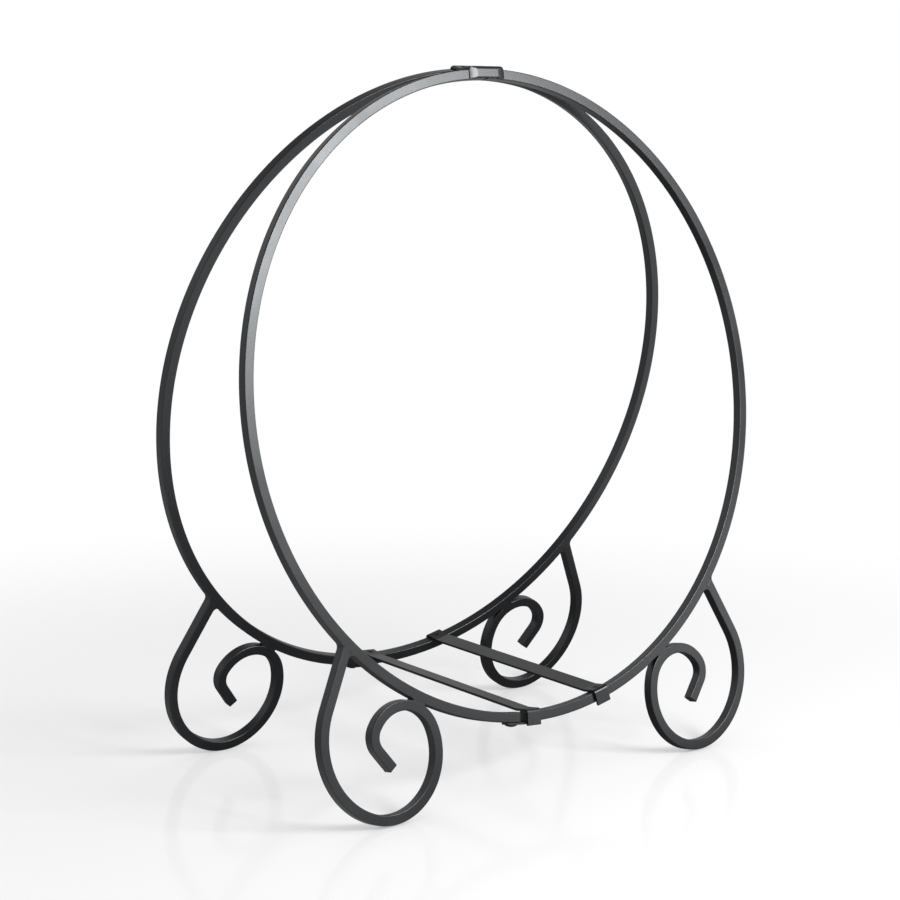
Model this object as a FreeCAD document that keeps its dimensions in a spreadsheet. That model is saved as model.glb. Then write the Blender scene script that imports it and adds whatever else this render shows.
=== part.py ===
import FreeCAD, Part
import math
import os

import Sketcher

# Log hoop: two rolled square-bar hoops that lean together at the top, four scroll feet welded under
# them, a pressed saddle over the top joint, a bolted splice at the bottom and two straps that tie the
# hoops together there.
# Frame: +Z up, +X to the right, -Y to the front, origin on the floor under the middle. Millimetres.

Vec = FreeCAD.Vector
Turn = FreeCAD.Rotation
Place = FreeCAD.Placement
AXIS_X = Vec(1, 0, 0)
AXIS_Y = Vec(0, 1, 0)
AXIS_Z = Vec(0, 0, 1)

FRONT, REAR = -1, 1
LEFT, RIGHT = -1, 1
OUTER_FACE, CURL_FACE = -1, 1
SIDE_NAMES = {(FRONT, LEFT): "front_left", (FRONT, RIGHT): "front_right",
              (REAR, LEFT): "rear_left", (REAR, RIGHT): "rear_right"}
DEPTH_NAMES = {FRONT: "front", REAR: "rear"}
# The two ends of a sketch's curve, as its constraints count them.
START, END = 1, 2

SIZES = (
    ("hoop_diameter", "760", "outside diameter of each hoop"),
    ("bar_side", "12", "side of the square bar"),
    ("bar_edge", "1.2", "rounding of the bar's long edges"),
    ("lean_angle", "11", "lean of each hoop towards the other, degrees"),
    ("top_spacing", "21", "middle to middle of the two hoops, outside at the top"),
    ("top_joint_gap", "2", "gap between the half hoops under the saddle"),
    ("joint_distance", "41.5", "bottom joint, left of the middle along the bar"),
    ("joint_gap", "8", "gap between the half hoops at the bottom joint"),
    ("joint_bolt_spacing", "27.7", "splice bolt to strap screw, across the bottom joint"),
    ("leg_angle", "47.5", "where a leg meets its hoop, degrees from the bottom"),
    ("leg_slant", "27", "slant of a leg, degrees from upright"),
    ("heel_radius", "92", "outer sweep of the scroll, on the bar's middle line"),
    ("heel_turn", "96", "turn of the outer sweep, degrees"),
    ("toe_radius", "70", "inner side of the scroll's loop"),
    ("toe_turn", "131", "turn of the loop's inner side, degrees"),
    ("curl_radius", "44", "top of the curl, which lies against the hoop"),
    ("curl_turn", "127", "turn of the curl, degrees"),
    ("eye_radius", "22", "last bend before the tail"),
    ("eye_turn", "70", "turn of the last bend, degrees"),
    ("tail_length", "27.5", "straight tail at the end of the scroll"),
    ("weld_gap", "0.6", "root gap of the welds between foot and hoop"),
    ("weld_seat", "0.1", "weld metal to bar"),
    ("weld_radius", "6", "hollow of the fillet welds beside a leg"),
    ("weld_reach", "10", "half length of the weld between curl and hoop"),
    ("weld_inset", "0.15", "weld metal below the bar's flat sides"),
    ("seat_gap", "0.15", "bolted pieces to the bars that they lie on"),
    ("saddle_width", "52", "saddle along the hoops"),
    ("saddle_plate", "3", "plate of the saddle"),
    ("saddle_bend", "1.5", "inside radius of the saddle's bends"),
    ("saddle_rise", "0.4", "ears of the saddle short of the inside of the hoop"),
    ("saddle_corner", "6", "rounded upper corners of the saddle's flanges"),
    ("saddle_ear", "8.5", "width of each ear"),
    ("saddle_toe", "2.4", "rounded lower edge of the flanges"),
    ("saddle_sweep", "11", "length of the swept-back ends of the flanges"),
    ("saddle_taper", "2.2", "thinning of the flanges at their swept-back ends"),
    ("saddle_relief", "1.4", "relief between the ears"),
    ("ear_corner", "2", "rounded corners of the ears"),
    ("saddle_screw_spacing", "24.5", "saddle screws along the hoops"),
    ("screw_diameter", "5", "countersunk screws, thread"),
    ("screw_head", "9.6", "countersunk screws, head"),
    ("saddle_screw_short", "0.4", "saddle screws' tips short of the inside of the bars"),
    ("strap_screw_short", "0.8", "strap screws' tips short of the far side that they go through to"),
    ("screw_socket", "3", "hexagon socket across flats"),
    ("socket_depth", "1.8", "depth of the hexagon sockets"),
    ("thread_gap", "0.15", "fasteners to their holes"),
    ("splice_length", "45", "splice plate along the hoop"),
    ("splice_plate", "2.5", "thickness of the splice plate"),
    ("bolt_diameter", "6", "splice bolts, thread"),
    ("bolt_head", "14", "splice bolts, mushroom head"),
    ("bolt_head_height", "2.4", "splice bolts, head height"),
    ("bolt_lip", "0.6", "splice bolts, straight rim of the head"),
    ("bolt_short", "1.3", "splice bolts' tips short of the bar's inside"),
    ("tie_distance", "82", "second tie strap, right of the middle along the bar"),
    ("strap_width", "20", "tie straps along the hoops"),
    ("strap_plate", "3", "thickness of the tie straps"),
    ("strap_bend", "1.5", "inside radius of the straps' bends"),
    ("strap_lip", "4.2", "folded ends of the straps below the hoop"),
    ("strap_land", "5", "straps beyond the bar before they level out"),
)

doc = FreeCAD.newDocument("log_hoop")
sheet = doc.addObject("Spreadsheet::Sheet", "sizes")
for row, (alias, value, note) in enumerate(SIZES, start=1):
    sheet.set(f"A{row}", alias)
    sheet.set(f"B{row}", value)
    sheet.setAlias(f"B{row}", alias)
    sheet.set(f"C{row}", note)
doc.recompute()


def size(alias):
    """The number in the sheet's cell of that name."""
    return float(sheet.get(alias))


# Turns of the rolled pieces: a length along the bar's middle line over the radius of that line.
BAR_LINE = " / (sizes.hoop_diameter / 2 - sizes.bar_side / 2) * 1 rad"
TO_TOP = "180 deg - (sizes.joint_distance + sizes.joint_gap / 2 + sizes.top_joint_gap / 2)" + BAR_LINE
TO_JOINT = "180 deg + (sizes.joint_distance - sizes.joint_gap / 2 - sizes.top_joint_gap / 2)" + BAR_LINE

hoop_radius = size("hoop_diameter") / 2
bar = size("bar_side")
bar_half = bar / 2
inner_radius = hoop_radius - bar
middle_radius = hoop_radius - bar_half
lean = math.radians(size("lean_angle"))
# At the top the hoops' middle planes stand top_spacing apart, so their centres stand this far out.
hoop_offset = size("top_spacing") / 2 + hoop_radius * math.sin(lean)


def arc_angle(length):
    """Angle, in degrees, of a length measured along the bar's middle line."""
    return math.degrees(length / middle_radius)


def new_body(label, place=Place()):
    body = doc.addObject("PartDesign::Body", label)
    body.Label = label
    body.Placement = place
    return body


def new_sketch(body, role, name, offset=Place()):
    """A sketch on one of the body's own origin planes, moved by offset within that plane's frame."""
    sketch = body.newObject("Sketcher::SketchObject", name)
    plane = next(feature for feature in body.Origin.OriginFeatures if feature.Role == role)
    sketch.AttachmentSupport = [(plane, "")]
    sketch.MapMode = "FlatFace"
    sketch.AttachmentOffset = offset
    return sketch


def drive_radius(sketch, geometry, expression):
    """A radius constraint that follows the sheet."""
    radius = sketch.Geometry[geometry].Radius
    index = sketch.addConstraint(Sketcher.Constraint("Radius", geometry, radius))
    sketch.setExpression(f"Constraints[{index}]", expression)


def left_normal(start, end):
    along = (end - start).normalize()
    return Vec(-along.y, along.x, 0)


def draw_loop(sketch, legs, closed=True):
    """Curves end to end: each leg (start, middle, radius expression) runs to the start of the next leg.

    A leg with a middle point is an arc through it, and its radius follows the sheet where it has an
    expression. An open loop ends at the start of its last leg.
    """
    count = len(legs)
    chain = []
    for index in range(count if closed else count - 1):
        start, middle, expression = legs[index]
        end = legs[(index + 1) % count][0]
        first, last = START, END
        if middle is None:
            curve = Part.LineSegment(start, end)
        elif (middle - start).cross(end - middle).z > 0:
            curve = Part.Arc(start, middle, end)
        else:
            # A sketch keeps every arc anticlockwise, so a clockwise one is drawn from its end.
            curve = Part.Arc(end, middle, start)
            first, last = END, START
        chain.append((sketch.addGeometry(curve, False), first, last, expression))
    for this, following in zip(chain, chain[1:] + chain[:1] * closed):
        sketch.addConstraint(Sketcher.Constraint("Coincident", this[0], this[2], following[0], following[1]))
    for geometry, first, last, expression in chain:
        if expression is not None:
            drive_radius(sketch, geometry, expression)
    return [link[0] for link in chain]


def draw_polygon(sketch, points):
    draw_loop(sketch, [(point, None, None) for point in points])


def draw_outline(sketch, corners):
    """A closed outline round corners (point, radius expression, radius); radius 0 is a sharp corner."""
    count = len(corners)
    legs = []
    for index, (point, expression, radius) in enumerate(corners):
        if radius == 0:
            legs.append((point, None, None))
            continue
        before = (corners[index - 1][0] - point).normalize()
        after = (corners[(index + 1) % count][0] - point).normalize()
        half = before.getAngle(after) / 2
        back = radius / math.tan(half)
        middle = (before + after).normalize()
        legs.append((point + before * back, point + middle * (radius / math.sin(half) - radius), expression))
        legs.append((point + after * back, None, None))
    draw_loop(sketch, legs)


def draw_strip(sketch, points, thickness, bend, bend_name, plate_name, toe=(None, 0)):
    """The section of a plate of even thickness, bent along points, which run along its right-hand side.

    The toe (radius expression, radius) rounds the left-hand side's two ends.
    """
    count = len(points)
    near = []
    far = []
    for index, point in enumerate(points):
        if index in (0, count - 1):
            pair = (points[0], points[1]) if index == 0 else (points[-2], points[-1])
            near.append((point, None, 0))
            far.append((point + left_normal(*pair) * thickness, *toe))
            continue
        before = left_normal(points[index - 1], point)
        after = left_normal(point, points[index + 1])
        shifted = point + (before + after) * (thickness / (1 + before.dot(after)))
        turns_left = before.cross(after).z > 0
        tight = (f"sizes.{bend_name}", bend)
        wide = (f"sizes.{bend_name} + sizes.{plate_name}", bend + thickness)
        near_bend, far_bend = (wide, tight) if turns_left else (tight, wide)
        near.append((point, *near_bend))
        far.append((shifted, *far_bend))
    draw_outline(sketch, near + far[::-1])


def draw_bar_section(sketch, centre):
    """The rounded square section of the bar, with its sides and its rounding driven by the sheet."""
    reach = bar_half
    corners = [centre + Vec(x * reach, y * reach, 0) for x, y in ((-1, -1), (1, -1), (1, 1), (-1, 1))]
    draw_outline(sketch, [(corner, "sizes.bar_edge", size("bar_edge")) for corner in corners])


def draw_circle(sketch, centre, radius, expression):
    circle = sketch.addGeometry(Part.Circle(centre, AXIS_Z, radius), False)
    drive_radius(sketch, circle, expression)


def pad(body, sketch, name, expression):
    """A pad of the sketch, half to each side of its plane."""
    feature = body.newObject("PartDesign::Pad", name)
    feature.Profile = sketch
    feature.SideType = "Symmetric"
    feature.setExpression("Length", expression)
    body.Tip = feature
    return feature


def revolve(body, sketch, name, axis, expression):
    feature = body.newObject("PartDesign::Revolution", name)
    feature.Profile = sketch
    feature.ReferenceAxis = (sketch, [axis])
    feature.setExpression("Angle", expression)
    body.Tip = feature
    return feature


def compound(label, pieces):
    """Separate like solids that share one node."""
    group = doc.addObject("Part::Compound", label)
    group.Label = label
    group.Links = pieces
    return group


def cut(label, base, tools):
    """The base with the tools' shapes taken out of it."""
    tool = compound(f"{label}_holes", tools)
    result = doc.addObject("Part::Cut", label)
    result.Label = label
    result.Base = base
    result.Tool = tool
    return result


class Scroll:
    """The middle line of a left foot in its hoop's plane: x to the right, y up, from the hoop's centre."""

    def __init__(self):
        self.arcs = [(size(f"{name}_radius"), math.radians(size(f"{name}_turn")), f"sizes.{name}_radius")
                     for name in ("heel", "toe", "curl", "eye")]
        angle = math.radians(size("leg_angle"))
        self.heading = -math.radians(size("leg_slant"))
        self.weld_point = Vec(-math.sin(angle), -math.cos(angle), 0) * hoop_radius
        self.along = self.direction(self.heading)
        self.across = self.inward(self.heading)
        self.leg_length = self.find_leg_length()
        self.start = self.weld_point - self.along * bar
        self.bends = self.place_arcs(self.weld_point + self.along * self.leg_length)

    @staticmethod
    def direction(heading):
        return Vec(math.sin(heading), -math.cos(heading), 0)

    @staticmethod
    def inward(heading):
        """Square to the direction of travel, to the side that the scroll curls to."""
        return Vec(math.cos(heading), math.sin(heading), 0)

    def place_arcs(self, point):
        """Each bend as (centre, radius, first heading, last heading, radius expression)."""
        heading = self.heading
        bends = []
        for radius, turn, expression in self.arcs:
            centre = point + self.inward(heading) * radius
            bends.append((centre, radius, heading, heading + turn, expression))
            heading += turn
            point = centre - self.inward(heading) * radius
        self.tail_start = point
        self.tail_end = point + self.direction(heading) * size("tail_length")
        return bends

    def find_leg_length(self):
        """The leg is as long as it takes for the curl to lie against the hoop, one weld gap away."""
        centre, radius = self.place_arcs(self.weld_point)[2][:2]
        reach = hoop_radius + size("weld_gap") + bar_half + radius
        along = centre.dot(self.along)
        return -along + math.sqrt(along ** 2 - centre.dot(centre) + reach ** 2)

    def lowest(self):
        """How far the outside of the foot reaches below the hoop's centre, within the hoop's plane."""
        for centre, radius, first, last, expression in self.bends:
            if first <= math.pi / 2 <= last:
                return -centre.y + radius + bar_half
        raise ValueError("the scroll has no lowest point")

    def length(self):
        bends = sum(radius * turn for radius, turn, expression in self.arcs)
        return bar + self.leg_length + bends + size("tail_length")


scroll = Scroll()
edge = size("bar_edge")
# The feet stand on the rounded inner edge of their lowest bend.
hoop_height = (scroll.lowest() - edge) * math.cos(lean) + (bar_half - edge) * math.sin(lean) + edge


def hoop_place(depth):
    """Frame of a hoop: its own XZ plane is the hoop's plane, with the origin at the hoop's centre."""
    return Place(Vec(0, depth * hoop_offset, hoop_height), Turn(AXIS_X, depth * size("lean_angle")))


def radial_place(depth, angle, radius, outward=True):
    """On a hoop, at an angle in degrees left of the bottom, with +Z pointing away from the centre."""
    spin = Place(Vec(), Turn(AXIS_Y, angle + 180))
    flip = Turn() if outward else Turn(AXIS_X, 180)
    return hoop_place(depth) * spin * Place(Vec(0, 0, radius), flip)


def half_hoop_bar(label, depth, start, sweep):
    """Square bar rolled round the hoop's centre, clockwise from an angle right of the top."""
    body = new_body(f"{label}_bar", hoop_place(depth))
    section = new_sketch(body, "YZ_Plane", f"{label}_section", Place(Vec(), Turn(AXIS_X, start)))
    draw_bar_section(section, Vec(0, middle_radius, 0))
    revolve(body, section, f"{label}_roll", "H_Axis", sweep)
    return body


def foot_place(depth, side):
    """Frame of a foot: a right foot is the left one turned half round."""
    return hoop_place(depth) * Place(Vec(), Turn(AXIS_Z, 0 if side == LEFT else 180))


def scroll_foot(label, depth, side):
    """Square bar bent along the scroll, its leg coped to the outside of the hoop."""
    body = new_body(label, foot_place(depth, side))
    path = new_sketch(body, "XZ_Plane", f"{label}_path")
    legs = [(scroll.start, None, None)]
    for centre, radius, first, last, expression in scroll.bends:
        begin, middle = (centre - scroll.inward(heading) * radius for heading in (first, (first + last) / 2))
        legs.append((begin, middle, expression))
    legs.append((scroll.tail_start, None, None))
    legs.append((scroll.tail_end, None, None))
    runs = draw_loop(path, legs, closed=False)
    length = path.addConstraint(Sketcher.Constraint("Distance", runs[-1], size("tail_length")))
    path.setExpression(f"Constraints[{length}]", "sizes.tail_length")
    square_to_leg = Place(Vec(scroll.start.x, 0, scroll.start.y), Turn(AXIS_Y, -math.degrees(scroll.heading)))
    section = new_sketch(body, "XY_Plane", f"{label}_section", square_to_leg)
    draw_bar_section(section, Vec())
    doc.recompute()
    pipe = body.newObject("PartDesign::AdditivePipe", f"{label}_bend")
    pipe.Profile = section
    pipe.Spine = (path, [f"Edge{index + 1}" for index in range(len(runs))])
    pipe.Mode = "Binormal"
    pipe.Binormal = AXIS_Y
    rim = new_sketch(body, "XZ_Plane", f"{label}_rim")
    draw_circle(rim, Vec(), hoop_radius + size("weld_gap"), "sizes.hoop_diameter / 2 + sizes.weld_gap")
    cope = body.newObject("PartDesign::Pocket", f"{label}_cope")
    cope.Profile = rim
    cope.SideType = "Symmetric"
    cope.setExpression("Length", "2 * sizes.bar_side")
    body.Tip = cope
    return body


def weld_pad(label, depth, side, legs):
    """Weld metal of one outline in the hoop's plane, nearly as deep as the bar."""
    body = new_body(label, foot_place(depth, side))
    sketch = new_sketch(body, "XZ_Plane", f"{label}_outline")
    draw_loop(sketch, legs)
    pad(body, sketch, f"{label}_metal", "sizes.bar_side - 2 * sizes.weld_inset")
    return body


def leg_weld(label, depth, side, face):
    """Hollow fillet between the hoop and one face of the leg, on the curl's side or the outer side."""
    rim = hoop_radius + size("weld_seat")
    hollow = size("weld_radius")
    away = scroll.across * face

    def on_line(distance, radius):
        """The point that far from the leg's middle line and that far from the hoop's centre."""
        base = scroll.weld_point + away * distance
        along = base.dot(scroll.along)
        return base + scroll.along * (-along + math.sqrt(along ** 2 - base.dot(base) + radius ** 2))

    leg_face = bar_half + size("weld_seat")
    root = on_line(leg_face, rim)
    centre = on_line(leg_face + hollow, rim + hollow)
    on_leg = centre - away * hollow
    on_rim = centre * (rim / (rim + hollow))
    belly = centre + (root - centre).normalize() * hollow
    rim_middle = (on_rim + root).normalize() * rim
    return weld_pad(label, depth, side, [(root, None, None), (on_leg, belly, "sizes.weld_radius"),
                                         (on_rim, rim_middle, None)])


def curl_weld(label, depth, side):
    """Weld metal in the narrowing gap between the hoop and the top of the curl."""
    centre, radius = scroll.bends[2][:2]
    outward = Vec(centre).normalize()
    sideways = Vec(-outward.y, outward.x, 0)
    reach = size("weld_reach")
    rim = hoop_radius + size("weld_seat")
    crown = radius + bar_half + size("weld_seat")

    def on_rim(offset):
        return outward * math.sqrt(rim ** 2 - offset ** 2) + sideways * offset

    def on_crown(offset):
        return centre - outward * math.sqrt(crown ** 2 - offset ** 2) + sideways * offset

    along_rim = [(on_rim(-reach), on_rim(0), None), (on_rim(reach), None, None)]
    along_crown = [(on_crown(reach), on_crown(0), None), (on_crown(-reach), None, None)]
    return weld_pad(label, depth, side, along_rim + along_crown)


def turned(label, place, legs):
    """A round piece about its own Z axis, from half its section: x is the radius, y the height."""
    body = new_body(label, place)
    sketch = new_sketch(body, "XZ_Plane", f"{label}_section")
    draw_loop(sketch, legs)
    revolve(body, sketch, f"{label}_turning", "V_Axis", "360 deg")
    return body


def hexagon_socket(body, label, height):
    """A hexagon socket in the top of a fastener, sunk from that height."""
    sketch = new_sketch(body, "XY_Plane", f"{label}_hexagon", Place(Vec(0, 0, height), Turn()))
    reach = size("screw_socket") / math.sqrt(3)
    turns = [math.pi / 3 * corner for corner in range(6)]
    draw_polygon(sketch, [Vec(math.cos(turn), math.sin(turn), 0) * reach for turn in turns])
    socket = body.newObject("PartDesign::Pocket", f"{label}_socket")
    socket.Profile = sketch
    socket.setExpression("Length", "sizes.socket_depth")
    body.Tip = socket


def countersunk_screw(label, place, length):
    """A countersunk screw that points down, with the top of its head at height 0."""
    head = size("screw_head") / 2
    shank = size("screw_diameter") / 2
    points = (Vec(), Vec(head, 0, 0), Vec(shank, shank - head, 0), Vec(shank, -length, 0), Vec(0, -length, 0))
    body = turned(label, place, [(point, None, None) for point in points])
    hexagon_socket(body, label, 0)
    return body


def countersunk_hole(label, place, length):
    """The hole for such a screw, with the gap all round it, run out past both ends."""
    head = size("screw_head") / 2 + size("thread_gap")
    shank = size("screw_diameter") / 2 + size("thread_gap")
    end = -length - bar
    points = (Vec(0, bar, 0), Vec(head, bar, 0), Vec(head, 0, 0), Vec(shank, shank - head, 0),
              Vec(shank, end, 0), Vec(0, end, 0))
    return turned(label, place, [(point, None, None) for point in points])


def mushroom_bolt(label, place, length):
    """A bolt that points down, with a domed head that stands on height 0."""
    head = size("bolt_head") / 2
    shank = size("bolt_diameter") / 2
    top = size("bolt_head_height")
    lip = size("bolt_lip")
    rise = top - lip
    dome = (head ** 2 + rise ** 2) / (2 * rise)
    half = math.asin(head / dome) / 2
    shoulder = Vec(dome * math.sin(half), top - dome + dome * math.cos(half), 0)
    shank_points = (Vec(0, -length, 0), Vec(shank, -length, 0), Vec(shank, 0, 0), Vec(head, 0, 0))
    legs = [(point, None, None) for point in shank_points]
    legs += [(Vec(head, lip, 0), shoulder, None), (Vec(0, top, 0), None, None)]
    body = turned(label, place, legs)
    hexagon_socket(body, label, top)
    return body


def bolt_hole(label, place):
    """The hole for such a bolt, run out past both ends."""
    radius = size("bolt_diameter") / 2 + size("thread_gap")
    reach = 2 * bar
    points = (Vec(0, reach, 0), Vec(radius, reach, 0), Vec(radius, -reach, 0), Vec(0, -reach, 0))
    return turned(label, place, [(point, None, None) for point in points])


saddle_seat = hoop_radius + size("seat_gap")
saddle_top = saddle_seat + size("saddle_plate")
saddle_screw_length = saddle_top - inner_radius - size("saddle_screw_short")
splice_seat = hoop_radius + size("seat_gap")
splice_back = splice_seat + size("splice_plate")
bolt_seat = splice_back + size("seat_gap")
bolt_length = bolt_seat - inner_radius - size("bolt_short")
bolt_angle = arc_angle(size("joint_distance") + size("joint_bolt_spacing") / 2)
joint_strap_angle = arc_angle(size("joint_distance") - size("joint_bolt_spacing") / 2)
tie_strap_angle = -arc_angle(size("tie_distance"))
# A flat strap in the hollow of the hoop touches it along the strap's two long edges.
strap_seat = math.sqrt(inner_radius ** 2 - (size("strap_width") / 2) ** 2) - size("seat_gap")
strap_top = strap_seat - size("strap_plate")
joint_screw_length = splice_back - strap_top - size("strap_screw_short")
tie_screw_length = hoop_radius - strap_top - size("strap_screw_short")


def section_point(depth, slope, across, height):
    """A point of a hoop's bar in the upright plane through both bars, from midway between the hoops.

    Across is measured square to the hoop, away from the other hoop, and height from the hoop's centre.
    """
    y = depth * (hoop_offset + across * math.cos(slope) - height * math.sin(slope))
    return Vec(y, across * math.sin(slope) + height * math.cos(slope), 0)


def saddle_sweep(label, depth, side):
    """The shape that sweeps back one end of a flange of the saddle, on the flange's outer face."""
    outer = bar_half + size("seat_gap") + size("saddle_plate")
    length = size("saddle_sweep")
    begin = size("saddle_width") / 2 - length

    def point(along, across):
        return Vec(side * along, depth * across, 0)

    def swept(share):
        """On the sweep, at that share of its length, which it leaves with a slight first slope."""
        return point(begin + share * length, outer - size("saddle_taper") * share * (0.2 + 0.8 * share))

    past = 1.2
    body = new_body(label, hoop_place(depth))
    sketch = new_sketch(body, "XY_Plane", f"{label}_outline", Place(Vec(0, 0, middle_radius), Turn()))
    draw_loop(sketch, [(swept(0), swept(past / 2), None), (swept(past), None, None),
                       (point(begin + past * length, outer + bar), None, None),
                       (point(begin, outer + bar), None, None)])
    pad(body, sketch, f"{label}_waste", "4 * sizes.bar_side")
    return body


def top_saddle(cuts):
    """Pressed plate that lies on both bars, with a valley between them and an eared flange down each side."""
    name = "top_saddle"
    inner_face = bar_half + size("seat_gap")
    middle = (hoop_offset - saddle_seat * math.sin(lean)) / math.cos(lean)
    valley = section_point(FRONT, lean, -middle, saddle_seat)
    lower = inner_radius + size("saddle_rise")
    half = [section_point(FRONT, lean, inner_face, height) for height in (lower, saddle_seat)]
    points = half + [valley] + [Vec(-point.x, point.y, 0) for point in half[::-1]]
    middle_place = Place(Vec(0, 0, hoop_height), Turn())
    plate = new_body(f"{name}_plate", middle_place)
    sketch = new_sketch(plate, "YZ_Plane", f"{name}_section")
    toe = ("sizes.saddle_toe", size("saddle_toe"))
    draw_strip(sketch, points, size("saddle_plate"), size("saddle_bend"), "saddle_bend", "saddle_plate", toe)
    pad(plate, sketch, f"{name}_pressing", "sizes.saddle_width")
    blank = new_body(f"{name}_blank", middle_place)
    outline = new_sketch(blank, "XZ_Plane", f"{name}_outline")
    side = size("saddle_width") / 2
    waist = side - size("saddle_ear")
    top = section_point(FRONT, lean, inner_face, saddle_top).y
    bottom = half[0].y
    relief = bottom + size("saddle_relief")
    ear = ("sizes.ear_corner", size("ear_corner"))
    shoulder = ("sizes.saddle_corner", size("saddle_corner"))
    right = [(Vec(waist, relief, 0), *ear), (Vec(waist, bottom - bar, 0), None, 0),
             (Vec(side, bottom - bar, 0), None, 0), (Vec(side, top, 0), *shoulder)]
    left = [(Vec(-point.x, point.y, 0), expression, radius) for point, expression, radius in right[::-1]]
    draw_outline(outline, right + left)
    pad(blank, outline, f"{name}_depth", "2 * sizes.top_spacing + 6 * sizes.bar_side")
    trimmed = doc.addObject("Part::Common", f"{name}_trimmed")
    trimmed.Base = plate
    trimmed.Tool = blank
    return cut(name, trimmed, cuts)


def splice_plate(label, depth, holes):
    """Curved plate under the bottom joint, laid along both bar ends."""
    half = arc_angle(size("splice_length") / 2)
    start = 180 + arc_angle(size("joint_distance")) - half
    body = new_body(f"{label}_plate", hoop_place(depth))
    section = new_sketch(body, "YZ_Plane", f"{label}_section", Place(Vec(), Turn(AXIS_X, start)))
    draw_polygon(section, (Vec(-bar_half, splice_seat, 0), Vec(bar_half, splice_seat, 0),
                           Vec(bar_half, splice_back, 0), Vec(-bar_half, splice_back, 0)))
    revolve(body, section, f"{label}_roll", "H_Axis", "sizes.splice_length" + BAR_LINE)
    return cut(label, body, holes)


def tie_strap(name, strap_angle, holes):
    """Flat strap from hoop to hoop, dished between the bars, its ends folded down over their outer sides."""
    angle = math.radians(strap_angle)
    spin = math.atan(math.tan(angle) / math.cos(lean))
    slope = math.asin(math.cos(angle) * math.sin(lean))
    # The strap crosses the leaning bars a little askew, so its folds stand off by that much more.
    askew = size("strap_width") / 2 * abs(math.sin(angle)) * math.sin(lean)
    fold = bar_half + 2 * size("seat_gap") + askew
    land = -bar_half - size("strap_land")
    end = -hoop_radius - size("strap_lip")
    half = [section_point(FRONT, slope, fold, end), section_point(FRONT, slope, fold, -strap_seat),
            section_point(FRONT, slope, land, -strap_seat)]
    points = half + [Vec(-point.x, point.y, 0) for point in half[::-1]]
    body = new_body(f"{name}_strip", Place(Vec(0, 0, hoop_height), Turn(AXIS_Y, math.degrees(spin))))
    sketch = new_sketch(body, "YZ_Plane", f"{name}_section")
    draw_strip(sketch, points, size("strap_plate"), size("strap_bend"), "strap_bend", "strap_plate")
    pad(body, sketch, f"{name}_width", "sizes.strap_width")
    return cut(name, body, holes)


STRAPS = {"joint": (joint_strap_angle, joint_screw_length), "tie": (tie_strap_angle, tie_screw_length)}

nodes = []
saddle_screws = []
saddle_cuts = []
splice_bolts = []
strap_screws = []
strap_holes = {name: [] for name in STRAPS}
for depth in (FRONT, REAR):
    hoop_name = DEPTH_NAMES[depth]
    bolt_place = radial_place(depth, bolt_angle, bolt_seat)
    bolt_bore = bolt_hole(f"{hoop_name}_bolt_hole", bolt_place)
    splice_bolts.append(mushroom_bolt(f"{hoop_name}_splice_bolt", bolt_place, bolt_length))
    strap_bores = {}
    for name, (strap_angle, length) in STRAPS.items():
        strap_place = radial_place(depth, strap_angle, strap_top, outward=False)
        strap_bores[name] = countersunk_hole(f"{hoop_name}_{name}_hole", strap_place, length)
        strap_holes[name].append(strap_bores[name])
        strap_screws.append(countersunk_screw(f"{hoop_name}_{name}_screw", strap_place, length))
    nodes.append(splice_plate(f"{hoop_name}_splice_plate", depth, [bolt_bore, strap_bores["joint"]]))
    for side, bottom_bores in ((LEFT, [bolt_bore]), (RIGHT, list(strap_bores.values()))):
        name = SIDE_NAMES[depth, side]
        reach = side * size("saddle_screw_spacing") / 2
        screw_place = hoop_place(depth) * Place(Vec(reach, 0, saddle_top), Turn())
        screw_bore = countersunk_hole(f"{name}_saddle_hole", screw_place, saddle_screw_length)
        saddle_cuts += [screw_bore, saddle_sweep(f"{name}_saddle_sweep", depth, side)]
        saddle_screws.append(countersunk_screw(f"{name}_saddle_screw", screw_place, saddle_screw_length))
        if side == RIGHT:
            start, sweep = arc_angle(size("top_joint_gap") / 2), TO_JOINT
        else:
            start, sweep = 180 + arc_angle(size("joint_distance") + size("joint_gap") / 2), TO_TOP
        rolled = half_hoop_bar(f"{name}_half_hoop", depth, start, sweep)
        nodes.append(cut(f"{name}_half_hoop", rolled, [screw_bore, *bottom_bores]))
        nodes.append(scroll_foot(f"{name}_scroll_foot", depth, side))
        leg_pair = [leg_weld(f"{name}_{face_name}_bead", depth, side, face)
                    for face, face_name in ((OUTER_FACE, "outer"), (CURL_FACE, "inner"))]
        nodes.append(compound(f"{name}_leg_welds", leg_pair))
        nodes.append(curl_weld(f"{name}_curl_weld", depth, side))
nodes.append(top_saddle(saddle_cuts))
nodes.append(tie_strap("tie_strap", joint_strap_angle, strap_holes["joint"]))
nodes.append(tie_strap("right_tie_strap", tie_strap_angle, strap_holes["tie"]))
nodes.append(compound("saddle_screws", saddle_screws))
nodes.append(compound("splice_bolts", splice_bolts))
nodes.append(compound("strap_screws", strap_screws))
doc.recompute()

for item in doc.Objects:
    if "Invalid" in item.State or "Error" in item.State:
        raise RuntimeError(f"{item.Label} failed: {item.State}")
for node in nodes:
    if node.Shape.isNull() or not node.Shape.isValid() or not node.Shape.Solids:
        raise RuntimeError(f"{node.Label} has no valid solid")
bent = doc.getObject("front_left_scroll_foot_bend").Shape.Volume
section_area = bar ** 2 - (4 - math.pi) * size("bar_edge") ** 2
if abs(bent / (scroll.length() * section_area) - 1) > 1e-4:
    raise RuntimeError("a scroll foot's volume differs from its section times its length")

os.makedirs("parts", exist_ok=True)
for node in nodes:
    node.Shape.exportStep(f"parts/{node.Label}.step")
    print(f"{node.Label}: {len(node.Shape.Solids)} solids, {node.Shape.Volume / 1000:.2f} cm3")
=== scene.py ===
import math

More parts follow.
